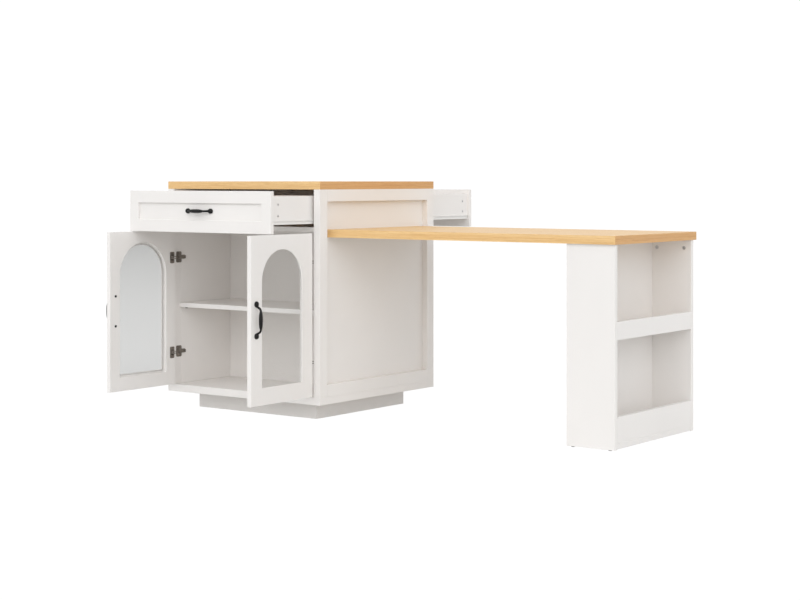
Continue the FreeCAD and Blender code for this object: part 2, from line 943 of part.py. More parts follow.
def drawer_side(bay):
    """The left side of a drawer box, grooved for its bottom panel."""
    side = block(box_left, box_left + box_side_thick, drawer_front_thick, box_end(bay), box_bottom, box_top)
    groove_x = box_left + box_side_thick - box_groove_depth
    groove_z = box_bottom + box_bottom_lift
    side = side.cut(block(groove_x, box_left + box_side_thick, drawer_front_thick, box_end(bay),
                          groove_z, groove_z + box_bottom_thick))
    for z in cam_heights():
        seat = V(box_left, cam_from_face, z)
        side = side.cut(faceted_rod(cam_radius, seat, X_WAY, cam_depth, HEAD_SIDES))
    return side


def drawer_bottom(bay):
    x0 = box_left + box_side_thick - box_groove_depth
    z0 = box_bottom + box_bottom_lift
    return [block(x0, cabinet_width - x0, drawer_front_thick, box_end(bay), z0, z0 + box_bottom_thick)]


def drawer_back(bay):
    x0 = box_left + box_side_thick
    z0 = box_bottom + box_bottom_lift + box_bottom_thick
    y1 = box_end(bay)
    return [block(x0, cabinet_width - x0, y1 - box_side_thick, y1, z0, box_top)]


def drawer_handle():
    return [handle(drawer_handle_centre(), X_WAY, -Y_WAY)]


def drawer_fasteners():
    """Cam locks in the box sides and the handle's screws."""
    solids = []
    for z in cam_heights():
        cam = faceted_rod(cam_radius, V(box_left, cam_from_face, z), X_WAY, cam_depth, HEAD_SIDES)
        solids += both_sides(cam)
    for side in (-1, 1):
        seat = drawer_handle_centre() + X_WAY * side * handle_spacing / 2
        solids.append(handle_screw(seat, -Y_WAY, drawer_front_thick - drawer_panel_recess))
    return solids


# ---------------------------------------------------------------- slides
# The drawer's rail hooks under the box side and its outer flange runs on a
# roller at the mouth of the cabinet's rail.  A second roller at the drawer
# rail's rear end runs in the cabinet's rail.
flange_under = box_bottom + slide_leg_height - slide_sheet
cabinet_roller_z = flange_under - roller_gap - cabinet_roller_radius
cabinet_roller_y = slide_setback + cabinet_roller_radius + roller_end_margin
track_top = cabinet_roller_z - cabinet_roller_radius - slide_sheet
drawer_roller_z = track_top + roller_gap + drawer_roller_radius
track_bottom = track_top - slide_sheet
roller_x = inner_left + roller_from_wall
rail_x = box_left - slide_sheet


def cabinet_rail(bay):
    """The left rail on the cabinet wall: web, track and top lip, with its axle."""
    y0 = slide_setback
    y1 = bay_depth(bay) - slide_end_gap
    lip_z = flange_under + slide_sheet + slide_lip_gap
    x = inner_left
    web = block(x, x + slide_sheet, y0, y1, track_bottom, lip_z + slide_sheet)
    track = block(x, x + slide_track_width, y0, y1, track_bottom, track_top)
    lip = block(x, x + slide_lip_width, y0, y1, lip_z, lip_z + slide_sheet)
    start = V(x, cabinet_roller_y, cabinet_roller_z)
    axle = faceted_rod(axle_radius, start, X_WAY, roller_from_wall + roller_width + roller_gap)
    spacer = faceted_rod(axle_head_radius, start, X_WAY, roller_from_wall - roller_gap)
    end = start + X_WAY * (roller_from_wall + roller_width + roller_gap)
    head = faceted_rod(axle_head_radius, end, X_WAY, axle_head_thick)
    return web.fuse(track).fuse(lip).fuse(axle).fuse(spacer).fuse(head).removeSplitter()


def drawer_rail(bay):
    """The left rail on the drawer box: hook, leg and outer flange, with its axle."""
    y0 = drawer_front_thick
    y1 = box_end(bay)
    foot = block(rail_x, box_left + box_side_thick, y0, y1, box_bottom - slide_sheet, box_bottom)
    leg = block(rail_x, box_left, y0, y1, box_bottom, box_bottom + slide_leg_height)
    roller_room = drawer_roller_y(bay) - drawer_roller_radius
    flange = block(box_left - slide_flange_width, box_left, y0, roller_room, flange_under,
                   flange_under + slide_sheet)
    roller_y = drawer_roller_y(bay)
    ear = block(rail_x, box_left, roller_y - axle_head_radius, roller_y + axle_head_radius,
                drawer_roller_z - axle_head_radius, box_bottom)
    start = V(box_left, roller_y, drawer_roller_z)
    reach = box_left - roller_x + roller_gap
    axle = faceted_rod(axle_radius, start, -X_WAY, reach)
    head = faceted_rod(axle_head_radius, start - X_WAY * reach, -X_WAY, axle_head_thick)
    return foot.fuse(leg).fuse(flange).fuse(ear).fuse(axle).fuse(head).removeSplitter()


def roller(y, z, radius):
    start = V(roller_x, y, z)
    bore_radius = corner_radius(axle_radius + axle_clearance, SHANK_SIDES)
    bore = faceted_rod(bore_radius, start, X_WAY, roller_width)
    return rod(radius, start, X_WAY, roller_width).cut(bore)


def drawer_nodes(bay, prefix):
    """Every piece of one drawer, shut, as it would stand in the front bay."""
    return {
        prefix + "_drawer_front": drawer_front(),
        prefix + "_drawer_sides": both_sides(drawer_side(bay)),
        prefix + "_drawer_back": drawer_back(bay),
        prefix + "_drawer_bottom": drawer_bottom(bay),
        prefix + "_drawer_handle": drawer_handle(),
        prefix + "_drawer_fasteners": drawer_fasteners(),
        prefix + "_drawer_rails": both_sides(drawer_rail(bay)),
        prefix + "_drawer_rollers": both_sides(roller(drawer_roller_y(bay), drawer_roller_z,
                                                      drawer_roller_radius)),
    }


def cabinet_rollers():
    return both_sides(roller(cabinet_roller_y, cabinet_roller_z, cabinet_roller_radius))


def pulled(solid, distance):
    copy = solid.copy()
    copy.translate(-Y_WAY * distance)
    return copy


def all_drawers():
    nodes = {}
    for name, solids in drawer_nodes(0, "front").items():
        nodes[name] = [pulled(solid, front_drawer_pull) for solid in solids]
    for name, solids in drawer_nodes(1, "back").items():
        nodes[name] = [turned_back(pulled(solid, back_drawer_pull)) for solid in solids]
    nodes["front_cabinet_rollers"] = cabinet_rollers()
    nodes["back_cabinet_rollers"] = [turned_back(solid) for solid in cabinet_rollers()]
    return nodes


def cabinet_rails():
    rails = both_sides(cabinet_rail(0))
    for rail in both_sides(cabinet_rail(1)):
        rails.append(turned_back(rail))
    return rails


# ---------------------------------------------------------------- the model
def all_nodes():
    nodes = {
        "worktop": worktop(),
        "base_panel": base_panel(),
        "plinth_boards": plinth_boards(),
        "front_posts": posts(0),
        "back_posts": posts(cabinet_depth - post_depth),
        "left_side_rails": side_rails(),
        "right_side_rails": [mirrored(solid) for solid in side_rails()],
        "left_side_panel": [left_side_panel()],
        "right_side_panel": [right_side_panel()],
        "partition": partition(base_top, divider_bottom),
        "upper_partition": partition(divider_top, carcass_top),
        "drawer_divider": drawer_divider(),
        "front_shelf": shelf(0),
        "back_shelf": shelf(1),
        "shelf_pins": shelf_pins(),
        "table_top": table_top(),
        "table_fixing_rails": table_fixing_rails(),
        "table_bolts": table_bolts(),
        "leg_front_panel": leg_side(leg_front_y),
        "leg_rear_panel": leg_side(niche_rear_y),
        "leg_inner_panel": leg_inner_panel(),
        "leg_shelf": leg_shelf(),
        "leg_base": leg_base(),
        "leg_lips": leg_lips(),
        "leg_cams": leg_cam_list(),
        "leg_glides": leg_glides(),
        "hinge_arms": hinge_arms(),
        "cabinet_rails": cabinet_rails(),
    }
    nodes.update(door_nodes())
    nodes.update(all_drawers())
    return nodes


def export(nodes):
    os.makedirs("parts", exist_ok=True)
    for name, solids in nodes.items():
        shape = solids[0] if len(solids) == 1 else Part.makeCompound(solids)
        shape = shape.copy()
        shape.translate(-origin)
        shape.exportStep("parts/" + name + ".step")
        print(name, len(shape.Solids), "solids", "valid" if shape.isValid() else "NOT VALID")


model = all_nodes()
export(model)
print(len(model), "nodes, origin at", origin)
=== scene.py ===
"""The looks of a two-sided kitchen island: lacquer, wood, reeded glass, hardware, light and camera."""

import json
import math

import bmesh
import bpy
from mathutils import Matrix, Vector


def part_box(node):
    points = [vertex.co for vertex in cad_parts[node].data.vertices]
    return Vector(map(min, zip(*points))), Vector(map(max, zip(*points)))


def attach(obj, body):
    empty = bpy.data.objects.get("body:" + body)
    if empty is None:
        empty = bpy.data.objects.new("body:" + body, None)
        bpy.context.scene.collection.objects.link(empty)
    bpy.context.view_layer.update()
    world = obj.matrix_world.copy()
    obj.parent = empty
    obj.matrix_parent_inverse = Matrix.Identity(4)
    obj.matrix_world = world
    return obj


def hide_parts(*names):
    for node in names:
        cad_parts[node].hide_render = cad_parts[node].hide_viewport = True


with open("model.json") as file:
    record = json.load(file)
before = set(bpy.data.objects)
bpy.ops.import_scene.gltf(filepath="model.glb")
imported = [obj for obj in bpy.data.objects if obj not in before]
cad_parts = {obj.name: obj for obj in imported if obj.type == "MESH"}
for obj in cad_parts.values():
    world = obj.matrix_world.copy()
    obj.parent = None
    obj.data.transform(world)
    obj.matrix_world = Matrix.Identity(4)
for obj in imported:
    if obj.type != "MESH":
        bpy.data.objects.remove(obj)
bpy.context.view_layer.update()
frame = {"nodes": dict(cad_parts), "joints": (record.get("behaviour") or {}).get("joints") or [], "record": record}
nodes = frame["nodes"]
joints = {joint["name"]: joint for joint in frame["joints"]}

SIDES = ("left", "right")
X_WAY = Vector((1, 0, 0))
Y_WAY = Vector((0, 1, 0))
Z_WAY = Vector((0, 0, 1))
X_AXIS, Y_AXIS = 0, 1

# ---------------------------------------------------------------- sizes in metres, and counts

# small rounding that every real edge has, by finish
edge_rounds = {"white_lacquer": 0.0007, "oiled_oak": 0.0005, "white_steel": 0.0003}
finest_edge = 0.0002
weld_gap = 0.00001
edge_segments = 2
sharp_angle = math.radians(40)

# reeded panes
flute_pitch = 0.008
flute_depth = 0.0011
flute_steps = 6
pane_edge_gap = 0.0004

# bow handles, drawn along X with the foot plane at z = 0
handle_spacing = 0.116
foot_long = 0.022
foot_wide = 0.0195
foot_high = 0.0095
foot_round = 0.0075
door_handle_reach = 0.0298
drawer_handle_reach = 0.027
grip_radius = 0.0074
grip_length = 0.066
neck_radius = 0.0040
neck_bend = 0.012
neck_angle = math.radians(60)
neck_root = 0.004
grip_steps = 14
bend_steps = 8
# how fast the grip thins towards its ends, as a power of the way along
grip_fullness = 3
# places down the neck and how much wider than the bend it is there, as shares
neck_flares = ((0.35, 1.0), (0.7, 1.06), (0.9, 1.16), (1.0, 1.25))
# how far round the foot's rounded edge each level lies, in degrees
foot_turns = (0, 15, 30, 45, 60, 75, 90)

# hinges, measured from the side panel's inner face, the cabinet's front and the hinge's middle
plate_start = 0.0145
plate_end = 0.045
plate_half = 0.0225
plate_thick = 0.0016
plate_corner = 0.006
plate_edge = 0.0005
tail_end = 0.067
tail_half = 0.008
tail_thick = plate_thick * 0.92
tail_corner = tail_half * 0.7
arm_start = 0.0295
arm_end = 0.064
arm_half = 0.007
arm_top = 0.008
arm_corner = 0.003
arm_edge = 0.0021
ear_thick = 0.0016
ear_start = 0.0208
ear_end = 0.0345
ear_radius = 0.0032
ear_steps = 12
pin_x = 0.010
pin_y = 0.024
pin_radius = 0.0015
link_radius = 0.030
link_start_angle = math.radians(62)
link_sweep = math.radians(122.2)
link_thick = 0.0026
link_height = 0.003
link_corner = 0.0005
link_top = 0.00525
link_eye_radius = 0.0029
link_post_radius = 0.0011
link_steps = 20
right_angle = math.radians(90)
cup_radius = 0.0122
cup_mouth = 0.0112
cup_depth = 0.0099
cup_floor = 0.0091
cup_round = 0.0012
cup_inner_round = 0.0015
cup_mouth_round = 0.0005
flange_half = 0.0125
flange_tall = 0.023
flange_thick = 0.001
flange_corner = 0.005
flange_edge = 0.0003
flange_edge_start = flange_thick * 0.6
hinge_screw_radius = 0.0032
hinge_screw_thick = 0.0009
hinge_screw_from_middle = 0.018
arm_screw_places = (0.042, 0.055)
arm_screw_radius = 0.0026
arm_screw_thick = 0.0005

# round pieces and fasteners
round_steps = 48
bar_steps = 24
hidden_depth = 0.0003
door_screw_grown = 0.0008
leg_bolt_radius = 0.0033
roller_bore = 0.0022

# a recess's reach and depth, and a bar's softened end, as shares of the piece's radius
cross_tip = 0.62
cross_arm_angle = math.radians(15)
hexagon_tip = 0.42
recess_share = 0.45
recess_heart = 0.05
bar_ease = 0.2
shank_share = 0.5
# how much narrower a recess is at its floor, and a cam below it
recess_taper = 0.8
hidden_taper = 0.9
# where a plate's rounded edge turns, as a share of that edge
plate_ease = 0.3
# radius and height at each level, as shares of the whole
head_profile = ((1.0, 0.55), (0.94, 0.86), (0.78, 1.0))
glide_profile = ((0.86, 0.0), (0.96, 0.2), (1.0, 0.5), (1.0, 1.0))
# a roller's hub, rim and rounding, as shares of its radius; the hub's foot is a share of the hub
roller_ease = 0.08
roller_hub = 0.45
roller_hub_foot = 1.15
roller_rim_foot = 0.8
roller_rim = 0.86


# ---------------------------------------------------------------- node trees

def add(tree, kind, inputs=None, **settings):
    """A shader node. An input given a socket is linked, and any other is set."""
    node = tree.nodes.new(kind)
    for name, value in settings.items():
        setattr(node, name, value)
    for name, value in (inputs or {}).items():
        if isinstance(value, bpy.types.NodeSocket):
            tree.links.new(value, node.inputs[name])
        else:
            node.inputs[name].default_value = value
    return node


def new_material(name):
    material = bpy.data.materials.new(name)
    material.use_nodes = True
    tree = material.node_tree
    tree.nodes.clear()
    return material, tree


def finish_material(tree, shader):
    add(tree, "ShaderNodeOutputMaterial", {"Surface": shader.outputs[0]})


def stretched(tree, vector, stretch):
    node = add(tree, "ShaderNodeMapping", {"Vector": vector})
    node.inputs["Scale"].default_value = stretch
    return node.outputs[0]


def place(tree, stretch=(1, 1, 1)):
    """The point on the object, stretched for a pattern."""
    return stretched(tree, add(tree, "ShaderNodeTexCoord").outputs["Object"], stretch)


def noise(tree, vector, scale, detail, roughness=0.5, distortion=0.0):
    inputs = {"Vector": vector, "Scale": scale, "Detail": detail, "Roughness": roughness}
    inputs["Distortion"] = distortion
    return add(tree, "ShaderNodeTexNoise", inputs).outputs["Fac"]


def ramp(tree, factor, *stops):
    """Colours at places along factor: each stop is (place, colour)."""
    node = add(tree, "ShaderNodeValToRGB", {"Fac": factor})
    line = node.color_ramp
    while len(line.elements) < len(stops):
        line.elements.new(0.5)
    for element, (place_on_line, colour) in zip(line.elements, stops):
        element.position = place_on_line
        element.color = (*colour, 1.0)
    return node.outputs["Color"]


def spread(tree, factor, low, high, start, end):
    """Factor's stretch start to end, as numbers from low to high."""
    inputs = {"Value": factor, "From Min": start, "From Max": end, "To Min": low, "To Max": high}
    return add(tree, "ShaderNodeMapRange", inputs).outputs["Result"]


def maths(tree, operation, one, other=0.0):
    node = add(tree, "ShaderNodeMath", operation=operation)
    for socket, value in zip(node.inputs, (one, other)):
        if isinstance(value, bpy.types.NodeSocket):
            tree.links.new(value, socket)
        else:
            socket.default_value = value
    return node.outputs[0]


def mix(tree, factor, one, other, blend="MIX", kind="RGBA"):
    node = add(tree, "ShaderNodeMix", data_type=kind, blend_type=blend)
    for name, value in (("Factor", factor), ("A", one), ("B", other)):
        socket = [s for s in node.inputs if s.name == name and s.enabled][0]
        if isinstance(value, bpy.types.NodeSocket):
            tree.links.new(value, socket)
        elif isinstance(value, tuple):
            socket.default_value = (*value, 1.0)
        else:
            socket.default_value = value
    return [s for s in node.outputs if s.enabled][0]


def bump(tree, height, distance, strength):
    inputs = {"Height": height, "Distance": distance, "Strength": strength}
    return add(tree, "ShaderNodeBump", inputs).outputs["Normal"]


# the standard curve of a screen: straight near black, and a power above it
screen_white = 255
straight_end = 0.04045
straight_rise = 12.92
curve_lift = 0.055
curve_top = 1.055
curve_power = 2.4


def linear(red, green, blue):
    """A colour given as it looks on a screen, 0 to 255, in the light's own numbers."""
    def part(value):
        share = value / screen_white
        if share <= straight_end:
            return share / straight_rise
        return ((share + curve_lift) / curve_top) ** curve_power
    return tuple(part(value) for value in (red, green, blue))


# ---------------------------------------------------------------- materials

# the range that a noise mostly keeps to, across which a look changes
noise_low = 0.3
noise_high = 0.7

# how far a face is turned before it counts as an end or an underside
turned_far = 0.7

# wood grain: its drift, and how much finer each layer is along, across and through a board
drift_finer_along = 2.2
drift_finer_across = 7.0
grain_drift = 0.03
band_finer = (0.5, 26.0, 40.0)
fibre_finer = (2.2, 190.0, 210.0)
pore_finer = (22.0, 1100.0, 1100.0)
streak_share = 0.45
pore_share = 0.5
pore_places = (0.30, 0.42)
end_shade = (0.83, 0.72, 0.66)
# how far downward faces are painted towards pale, a painted lift of the shade under the boards
underside_lift_share = 0.6

# how much finer the glass's ripple and the metal's grain are along X, Y and Z
glass_finer = (1, 1, 0.2)
metal_finer = (300, 300, 300)

# how far plastic strays from its roughness
plastic_smoother = 0.05
plastic_rougher = 0.07


def lacquer():
    """Satin white lacquer, with a faint cloudiness and the fine skin of a sprayed coat."""
    material, tree = new_material("white_lacquer")
    here = place(tree)
    clouds = noise(tree, here, scale=3.1, detail=3.0)
    shades = (noise_low, linear(231, 228, 225)), (noise_high, linear(234, 231, 228))
    sprayed = noise(tree, here, scale=700.0, detail=2.0)
    smears = noise(tree, here, scale=11.0, detail=4.0)
    shader = add(tree, "ShaderNodeBsdfPrincipled", {
        "Base Color": ramp(tree, clouds, *shades),
        "Roughness": spread(tree, smears, 0.36, 0.46, noise_low, noise_high),
        "Specular IOR Level": 0.4,
        "Normal": bump(tree, sprayed, distance=0.00004, strength=0.35),
    })
    finish_material(tree, shader)
    return material


def wood():
    """Pale oiled wood with its grain along X, end bands along Y, and its downward faces painted paler to lift the
    shade under the boards.
    """
    material, tree = new_material("oiled_oak")
    where = add(tree, "ShaderNodeTexCoord")
    parts = add(tree, "ShaderNodeSeparateXYZ", {"Vector": where.outputs["Object"]})
    facing = add(tree, "ShaderNodeSeparateXYZ", {"Vector": where.outputs["Normal"]})
    end_band = maths(tree, "GREATER_THAN", maths(tree, "ABSOLUTE", facing.outputs["X"]), turned_far)
    along = mix(tree, end_band, parts.outputs["X"], parts.outputs["Y"], kind="FLOAT")
    across = mix(tree, end_band, parts.outputs["Y"], parts.outputs["X"], kind="FLOAT")
    drift_at = add(tree, "ShaderNodeCombineXYZ", {
        "X": maths(tree, "MULTIPLY", along, drift_finer_along),
        "Y": maths(tree, "MULTIPLY", across, drift_finer_across),
        "Z": maths(tree, "MULTIPLY", parts.outputs["Z"], drift_finer_across)}).outputs[0]
    drift = maths(tree, "MULTIPLY", noise(tree, drift_at, scale=1.0, detail=2.0), grain_drift)
    wavy = add(tree, "ShaderNodeCombineXYZ", {
        "X": along, "Y": maths(tree, "ADD", across, drift), "Z": parts.outputs["Z"]}).outputs[0]
    bands = noise(tree, stretched(tree, wavy, band_finer),
                  scale=1.3, detail=3.0, roughness=0.55, distortion=0.2)
    fibres = noise(tree, stretched(tree, wavy, fibre_finer),
                   scale=1.6, detail=4.0, roughness=0.6, distortion=0.1)
    pores = noise(tree, stretched(tree, wavy, pore_finer), scale=1.0, detail=2.0)
    ground = ramp(
        tree, bands,
        (0.32, linear(215, 171, 112)), (0.50, linear(229, 189, 130)), (0.70, linear(237, 202, 148)))
    streaks = ramp(
        tree, fibres,
        (0.30, linear(192, 143, 84)), (0.50, linear(230, 190, 130)), (0.70, linear(242, 211, 158)))
    figured = mix(tree, streak_share, ground, streaks)
    pored = mix(tree, spread(tree, pores, pore_share, 0.0, *pore_places), figured, linear(188, 142, 88))
    banded = mix(tree, end_band, pored, mix(tree, 1.0, pored, end_shade, "MULTIPLY"))
    # painted light: faces that point down are mixed towards pale, to lift the shade that falls under the boards
    underside = maths(tree, "LESS_THAN", facing.outputs["Z"], -turned_far)
    painted_underside_lift = maths(tree, "MULTIPLY", underside, underside_lift_share)
    toned = mix(tree, painted_underside_lift, banded, linear(238, 226, 212))
    shader = add(tree, "ShaderNodeBsdfPrincipled", {
        "Base Color": toned,
        "Roughness": spread(tree, fibres, 0.50, 0.38, noise_low, noise_high),
        "Specular IOR Level": 0.45,
        "Normal": bump(tree, pores, distance=0.00006, strength=0.4),
    })
    finish_material(tree, shader)
    return material


def black_iron():
    """Matt black powder coat."""
    material, tree = new_material("black_iron")
    here = place(tree)
    grit = noise(tree, here, scale=1400.0, detail=2.0)
    wear = noise(tree, here, scale=60.0, detail=3.0)
    shades = (noise_low, (0.004, 0.004, 0.004)), (0.75, (0.008, 0.0075, 0.007))
    shader = add(tree, "ShaderNodeBsdfPrincipled", {
        "Base Color": ramp(tree, wear, *shades),
        "Roughness": spread(tree, grit, 0.30, 0.42, noise_low, noise_high),
        "Specular IOR Level": 0.25,
        "Normal": bump(tree, grit, distance=0.00005, strength=0.4),
    })
    finish_material(tree, shader)
    return material


def glass():
    """Clear reeded glass with a faint white haze."""
    material, tree = new_material("reeded_glass")
    ripple = noise(tree, place(tree, glass_finer), scale=40.0, detail=2.0)
    shades = (noise_low, linear(168, 168, 164)), (noise_high, linear(174, 174, 170))
    shader = add(tree, "ShaderNodeBsdfPrincipled", {
        "Base Color": ramp(tree, ripple, *shades),
        "Roughness": 0.1,
        "IOR": 1.5,
        "Specular IOR Level": 1.0,
        "Coat Weight": 1.0,
        "Alpha": 0.1,
        "Normal": bump(tree, ripple, distance=0.0002, strength=0.3),
    })
    finish_material(tree, shader)
    return material


def metal(name, dark, light, smoothest, roughest, metallic=1.0):
    """A plated, uncoated or painted metal with a fine grain."""
    material, tree = new_material(name)
    grain = noise(tree, place(tree, metal_finer), scale=1.0, detail=3.0, roughness=0.6)
    shader = add(tree, "ShaderNodeBsdfPrincipled", {
        "Base Color": ramp(tree, grain, (noise_low, dark), (noise_high, light)),
        "Metallic": metallic,
        "Roughness": spread(tree, grain, smoothest, roughest, noise_low, noise_high),
        "Normal": bump(tree, grain, distance=0.00002, strength=0.4),
    })
    finish_material(tree, shader)
    return material


def plastic(name, dark, light, roughness):
    """Moulded plastic with a faint grain."""
    material, tree = new_material(name)
    grain = noise(tree, place(tree), scale=1800.0, detail=2.0)
    clouds = noise(tree, place(tree), scale=90.0, detail=2.0)
    smoothest = roughness - plastic_smoother
    roughest = roughness + plastic_rougher
    shader = add(tree, "ShaderNodeBsdfPrincipled", {
        "Base Color": ramp(tree, clouds, (noise_low, dark), (noise_high, light)),
        "Roughness": spread(tree, grain, smoothest, roughest, noise_low, noise_high),
        "Normal": bump(tree, grain, distance=0.00003, strength=0.4),
    })
    finish_material(tree, shader)
    return material


finishes = {
    "white_lacquer": lacquer(),
    "oiled_oak": wood(),
    "black_iron": black_iron(),
    "reeded_glass": glass(),
    "nickel_steel": metal("nickel_steel", (0.17, 0.15, 0.13), (0.34, 0.31, 0.28),
                          smoothest=0.28, roughest=0.40),
    "white_steel": metal("white_steel", linear(228, 227, 225), linear(240, 239, 237),
                         smoothest=0.3, roughest=0.4, metallic=0.0),
    "nylon": plastic("nylon", linear(222, 221, 216), linear(234, 233, 229), roughness=0.45),
    "zinc": metal("zinc", (0.55, 0.55, 0.56), (0.70, 0.70, 0.71), smoothest=0.34, roughest=0.46),
    "black_plastic": plastic("black_plastic", (0.008, 0.008, 0.008), (0.02, 0.02, 0.02), roughness=0.4),
}


# ---------------------------------------------------------------- the frame's own pieces

def slot_of(node):
    """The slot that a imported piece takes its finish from."""
    for part in frame["record"]["subparts"]:
        if part["node"] == node:
            return part["material_slot"]


def dress(node):
    """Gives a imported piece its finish, and the small rounding that every real edge has."""
    slot = slot_of(node)
    piece = nodes[node]
    piece.data.materials.clear()
    piece.data.materials.append(finishes[slot])
    weld = piece.modifiers.new("weld", "WELD")
    weld.merge_threshold = weld_gap
    edge = piece.modifiers.new("edge", "BEVEL")
    edge.width = edge_rounds.get(slot, finest_edge)
    edge.segments = edge_segments
    edge.limit_method = "ANGLE"
    edge.angle_limit = sharp_angle
    edge.harden_normals = True


# ---------------------------------------------------------------- making pieces

class Form:
    """The points and faces of a piece, gathered skin by skin."""

    def __init__(self):
        self.points = []
        self.faces = []

    def skin(self, rings, put=None, looped=False):
        """A closed skin through rings with the same number of points."""
        start = len(self.points)
        count = len(rings[0])
        for ring in rings:
            self.points += [put @ point if put else point for point in ring]
        spans = len(rings) if looped else len(rings) - 1
        for span in range(spans):
            here = start + span * count
            there = start + (span + 1) % len(rings) * count
            for step in range(count):
                after = (step + 1) % count
                self.faces.append((here + step, here + after, there + after, there + step))
        if not looped:
            self.faces.append(tuple(range(start, start + count)))
            last = start + (len(rings) - 1) * count
            self.faces.append(tuple(range(last, last + count)))

    def piece(self, name, slot, body, node):
        """Finishes the piece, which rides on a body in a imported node's stead."""
        made = new_object(name, self.points, self.faces, finishes[slot], smooth=True)
        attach(made, body)
        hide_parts(node)


def new_object(name, points, faces, material, smooth=False):
    mesh = bpy.data.meshes.new(name)
    mesh.from_pydata(points, [], faces)
    mesh.update()
    shape = bmesh.new()
    shape.from_mesh(mesh)
    bmesh.ops.recalc_face_normals(shape, faces=shape.faces)
    shape.to_mesh(mesh)
    shape.free()
    if smooth:
        mesh.shade_smooth()
        mesh.set_sharp_from_angle(angle=sharp_angle)
    piece = bpy.data.objects.new(name, mesh)
    bpy.context.scene.collection.objects.link(piece)
    mesh.materials.append(material)
    return piece


def circle(reach, height, steps=round_steps):
    """A ring round Z at a height. reach is a radius, or a function that gives it at an angle."""
    ring = []
    for step in range(steps):
        angle = 2 * math.pi * step / steps
        radius = reach(angle) if callable(reach) else reach
        ring.append(Vector((radius * math.cos(angle), radius * math.sin(angle), height)))
    return ring


def cross(tip):
    """The outline of a cross recess: its reach at an angle."""
    half = tip * math.sin(cross_arm_angle)

    def reach(angle):
        off = abs((angle + math.pi / 4) % (math.pi / 2) - math.pi / 4)
        if off <= cross_arm_angle + weld_gap:
            return tip * math.cos(cross_arm_angle) / math.cos(off)
        return half / math.sin(off)
    return reach


def hexagon(tip):
    """The outline of a hexagon socket: its reach at an angle."""
    def reach(angle):
        off = angle % (math.pi / 3) - math.pi / 6
        return tip * math.cos(math.pi / 6) / math.cos(off)
    return reach


def outline(low, high, corner, corner_steps=5, side_steps=1):
    """A rectangle's corners, rounded, as (u, v) pairs."""
    centres = (
        ((high[0] - corner, high[1] - corner), 0),
        ((low[0] + corner, high[1] - corner), 1),
        ((low[0] + corner, low[1] + corner), 2),
        ((high[0] - corner, low[1] + corner), 3),
    )
    pairs = []
    for (u, v), quarter in centres:
        for step in range(corner_steps + 1):
            angle = (quarter + step / corner_steps) * math.pi / 2
            pairs.append((u + corner * math.cos(angle), v + corner * math.sin(angle)))
    spaced = []
    for index, pair in enumerate(pairs):
        spaced.append(pair)
        if index % (corner_steps + 1) == corner_steps:
            after = pairs[(index + 1) % len(pairs)]
            for step in range(1, side_steps):
                share = step / side_steps
                spaced.append(tuple(a + (b - a) * share for a, b in zip(pair, after)))
    return spaced


def rounded_plate(form, low, high, corner, thick, edge, put):
    """A plate that stands on its (u, v) plane, with rounded corners and a rounded upper edge."""
    eased = edge * plate_ease
    levels = ((0.0, 0.0), (0.0, thick - edge), (eased, thick - eased), (edge, thick))
    rings = []
    for inset, height in levels:
        inner_low = (low[0] + inset, low[1] + inset)
        inner_high = (high[0] - inset, high[1] - inset)
        pairs = outline(inner_low, inner_high, corner - inset)
        rings.append([Vector((u, v, height)) for u, v in pairs])
    form.skin(rings, put)


def screw_head(form, put, radius, thick, recess, depth=hidden_depth):
    """A round head that stands thick above z = 0, with a recess in its top."""
    floor_height = thick - radius * recess_share
    rings = [circle(radius, -depth)]
    rings += [circle(radius * share, thick * rise) for share, rise in head_profile]
    rings.append(circle(lambda angle: recess(angle) * radius, thick))
    rings.append(circle(lambda angle: recess(angle) * radius * recess_taper, floor_height))
    rings.append(circle(radius * recess_heart, floor_height))
    if floor_height < -depth:
        rings.insert(0, circle(radius * hidden_taper, floor_height - hidden_depth))
    form.skin(rings, put)


def bar(form, put, radius, low, high):
    """A round bar along z with softened ends."""
    ease = radius * bar_ease
    levels = ((radius - ease, low), (radius, low + ease), (radius, high - ease), (radius - ease, high))
    form.skin([circle(reach, height, bar_steps) for reach, height in levels], put)


def frame_at(centre, u_way, v_way, out):
    """Puts (u, v, height) at centre, with height along out."""
    turn = Matrix((u_way, v_way, out)).transposed().to_4x4()
    return Matrix.Translation(centre) @ turn


def ways_round(out):
    """Two directions square to an axis direction."""
    u_way = Vector((abs(out.y), abs(out.z), abs(out.x)))
    return u_way, out.cross(u_way)


def islands(node, way_back=None):
    """The lowest and highest corners of each separate solid in a node."""
    shape = bmesh.new()
    shape.from_mesh(nodes[node].data)
    bmesh.ops.remove_doubles(shape, verts=shape.verts, dist=weld_gap)
    waiting = set(shape.verts)
    boxes = []
    while waiting:
        found = [min(waiting, key=lambda vertex: vertex.index)]
        waiting.remove(found[0])
        for vertex in found:
            for edge in vertex.link_edges:
                other = edge.other_vert(vertex)
                if other in waiting:
                    waiting.remove(other)
                    found.append(other)
        boxes.append(box_round([vertex.co.copy() for vertex in found], way_back))
    shape.free()
    return boxes


def box_round(corners, way_back=None):
    """Lowest and highest corners of points after they are carried by way_back."""
    carried = [way_back @ corner for corner in corners] if way_back else corners
    low = Vector([min(corner[axis] for corner in carried) for axis in range(3)])
    high = Vector([max(corner[axis] for corner in carried) for axis in range(3)])
    return low, high


def box_in(node, way_back):
    return box_round([vertex.co for vertex in nodes[node].data.vertices], way_back)


# ---------------------------------------------------------------- doors, as if shut

def open_angle(side):
    """How far a door stands open at rest, in radians, turned the way that shuts it."""
    low, high = joints[side + "_door_hinge"]["range_deg"]
    return math.radians(high if abs(high) > abs(low) else low)


def opening_of(side):
    """The turn that takes a shut door to where it stands at rest, and its way back."""
    pivot = Vector(joints[side + "_door_hinge"]["pos_m"])
    turn = Matrix.Rotation(-open_angle(side), 4, "Z")
    opened = Matrix.Translation(pivot) @ turn @ Matrix.Translation(-pivot)
    return opened, opened.inverted()


